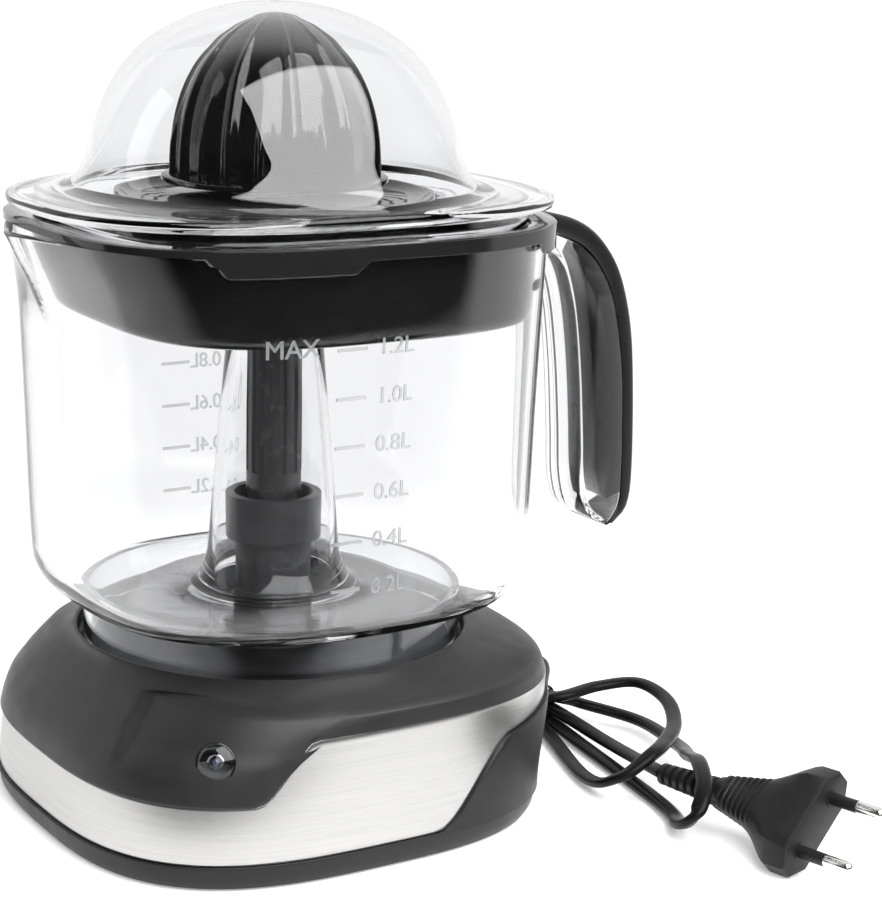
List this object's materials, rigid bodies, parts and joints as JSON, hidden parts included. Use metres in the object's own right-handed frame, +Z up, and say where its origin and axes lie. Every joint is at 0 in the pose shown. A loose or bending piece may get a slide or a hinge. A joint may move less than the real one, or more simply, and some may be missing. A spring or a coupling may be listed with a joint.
{
  "type": "electric citrus press",
  "caption": "Electric citrus press: motor base, clear jug with spout and handle, juice basket, ribbed reamers that turn and press down, clear dust cover and a mains cord with plug",
  "frame": {"origin": "on the drive shaft's axis, on the plane of the four feet", "axes": "+Z up along the shaft, +X towards the jug's handle, -Y towards the face with the litre marks"},
  "size_m": [0.2307, 0.2655, 0.2456],
  "materials": {
    "tray_black": "fine-grained black moulding",
    "foot_rubber": "soft rubber",
    "screw_steel": "zinc-plated",
    "band_steel": "satin, brushed upright",
    "casing_black": "soft satin charcoal black",
    "lens_clear": "polished",
    "board_green": "solder mask",
    "spindle_grey": "satin",
    "bush_bronze": "sintered, oiled",
    "plate_steel": "galvanised sheet",
    "motor_iron": "stacked laminations",
    "winding_copper": "enamelled wire",
    "gear_plastic": "natural acetal",
    "spring_steel": "drawn wire",
    "shaft_dark": "smooth dark grey",
    "switch_body": "moulded",
    "button_red": "moulded",
    "lever_plastic": "natural nylon",
    "relief_rubber": "soft PVC",
    "cord_black": "satin black PVC",
    "plug_black": "moulded PVC",
    "pin_nickel": "nickel-plated, black insulating sleeves",
    "jug_clear": "clear moulded plastic with raised litre marks",
    "grip_black": "satin black",
    "basket_black": "glossy black",
    "cone_dark": "dark grey",
    "reamer_black": "high-gloss black",
    "cover_clear": "clear moulded plastic"
  },
  "bodies": {
    "base": {"base_tray": "tray_black", "rubber_feet": "foot_rubber", "tray_screws": "screw_steel", "steel_band": "band_steel", "top_casing": "casing_black", "recess_plate": "casing_black", "indicator_lens": "lens_clear", "indicator_board": "board_green", "spindle_housing": "spindle_grey", "spindle_bush": "bush_bronze", "chassis_plate": "plate_steel", "chassis_screws": "screw_steel", "lower_bush": "bush_bronze", "motor_stator": "motor_iron", "motor_coil": "winding_copper", "motor_bracket_top": "plate_steel", "motor_bracket_bottom": "plate_steel", "motor_screws": "screw_steel", "idler_axle": "screw_steel", "microswitch": "switch_body", "lever_pin": "screw_steel", "terminal_block": "lever_plastic", "cord_clamp": "switch_body", "cord_relief": "relief_rubber", "cord": "cord_black", "cord_tie": "cord_black", "plug_body": "plug_black", "plug_pins": "pin_nickel"},
    "rotor": {"rotor": "motor_iron", "rotor_shaft": "screw_steel", "motor_pinion": "gear_plastic"},
    "idler": {"idler_gear": "gear_plastic"},
    "output": {"output_gear": "gear_plastic", "return_spring": "spring_steel"},
    "shaft": {"drive_shaft": "shaft_dark", "shaft_clip": "spring_steel"},
    "lever": {"switch_lever": "lever_plastic"},
    "button": {"switch_button": "button_red"},
    "jug": {"jug": "jug_clear", "jug_spout": "jug_clear", "jug_foot": "jug_clear", "jug_chimney": "jug_clear", "jug_handle": "jug_clear", "handle_grip": "grip_black"},
    "basket": {"basket": "basket_black", "strainer": "basket_black"},
    "cones": {"cone_socket": "lever_plastic", "small_cone": "cone_dark", "reamer": "reamer_black"},
    "cover": {"dust_cover": "cover_clear", "cover_brim": "cover_clear"},
    "bush": {"cone_bush": "lever_plastic"}
  },
  "joints": [
    {"name": "output_spin", "type": "hinge", "parent": "base", "child": "output", "pos_m": [0, 0, 0.04], "axis": [0, 0, 1], "continuous": true},
    {"name": "idler_spin", "type": "hinge", "parent": "base", "child": "idler", "pos_m": [-0.03289, -0.01197, 0.04], "axis": [0, 0, 1], "continuous": true},
    {"name": "rotor_spin", "type": "hinge", "parent": "base", "child": "rotor", "pos_m": [-0.01553, -0.03265, 0.02], "axis": [0, 0, 1], "continuous": true},
    {"name": "shaft_press", "type": "slide", "parent": "output", "child": "shaft", "axis": [0, 0, 1], "range_m": [-0.0025, 0], "stiffness_N_per_m": 1500, "springref_m": 0.001, "deforming": ["return_spring"]},
    {"name": "switch_lever_tilt", "type": "hinge", "parent": "base", "child": "lever", "pos_m": [0, 0.022, 0.023], "axis": [1, 0, 0], "range_deg": [0, 7]},
    {"name": "switch_button_press", "type": "slide", "parent": "base", "child": "button", "axis": [0, 0, 1], "range_m": [-0.0012, 0]},
    {"name": "jug_lift", "type": "slide", "parent": "base", "child": "jug", "axis": [0, 0, 1], "range_m": [0, 0.15]},
    {"name": "basket_lift", "type": "slide", "parent": "jug", "child": "basket", "axis": [0, 0, 1], "range_m": [0, 0.06]},
    {"name": "cone_spin", "type": "hinge", "parent": "basket", "child": "bush", "pos_m": [0, 0, 0.185], "axis": [0, 0, 1], "continuous": true},
    {"name": "cone_press", "type": "slide", "parent": "bush", "child": "cones", "axis": [0, 0, 1], "range_m": [-0.0025, 0]},
    {"name": "cover_lift", "type": "slide", "parent": "basket", "child": "cover", "axis": [0, 0, 1], "range_m": [0, 0.085]}
  ],
  "couplings": [
    {"joint": "idler_spin", "follows": "output_spin", "ratio": -4},
    {"joint": "rotor_spin", "follows": "output_spin", "ratio": 14},
    {"joint": "cone_spin", "follows": "output_spin", "ratio": 1},
    {"joint": "cone_press", "follows": "shaft_press", "ratio": 1},
    {"joint": "switch_lever_tilt", "follows": "shaft_press", "rad_per_m": -45.45},
    {"joint": "switch_button_press", "follows": "shaft_press", "ratio": 0.44}
  ]
}
